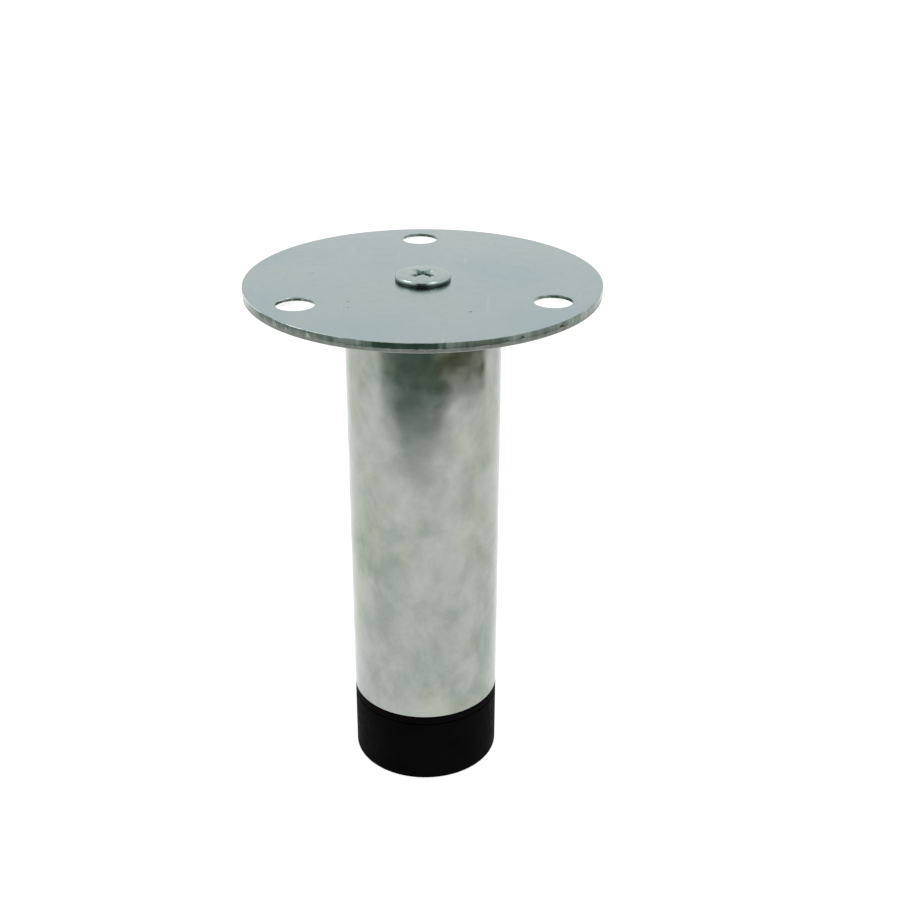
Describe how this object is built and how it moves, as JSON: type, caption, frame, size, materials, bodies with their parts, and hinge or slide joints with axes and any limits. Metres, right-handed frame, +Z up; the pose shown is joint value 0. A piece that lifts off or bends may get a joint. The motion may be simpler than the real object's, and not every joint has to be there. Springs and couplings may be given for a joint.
{
  "type": "furniture leveling foot",
  "caption": "Round zinc-plated tube leg with a screw-on mounting plate and a black foot that screws out to level the furniture.",
  "frame": {"origin": "on the floor, under the leg's axis, with the foot screwed fully in", "axes": "+Z up along the leg's axis; +Y towards the rear hole of the plate (3.9 degrees off it); +X to the right"},
  "size_m": [0.09, 0.09, 0.1418],
  "materials": {
    "plate_zinc": "satin zinc plating",
    "tube_zinc": "satin, mottled zinc plating",
    "screw_zinc": "bright zinc plating",
    "hardware_steel": "zinc-plated steel fasteners",
    "black_nylon": "moulded matt",
    "black_rubber": "matt rubber"
  },
  "bodies": {
    "leg": {"mounting_plate": "plate_zinc", "centre_screw": "screw_zinc", "leg_tube": "tube_zinc", "end_disc": "tube_zinc", "weld_nut": "hardware_steel", "tube_insert": "black_nylon", "insert_nut": "hardware_steel"},
    "glide": {"floor_pad": "black_rubber"},
    "foot": {"foot_cup": "black_nylon", "stem": "hardware_steel", "stem_nut": "hardware_steel"}
  },
  "joints": [
    {"name": "foot_lift", "type": "slide", "parent": "leg", "child": "glide", "axis": [0, 0, -1], "range_m": [0, 0.015]},
    {"name": "foot_turn", "type": "hinge", "parent": "glide", "child": "foot", "pos_m": [0, 0, 0.0186], "axis": [0, 0, -1], "range_deg": [0, 3600]}
  ],
  "couplings": [
    {"joint": "foot_lift", "follows": "foot_turn", "m_per_rad": 0.00023873}
  ]
}
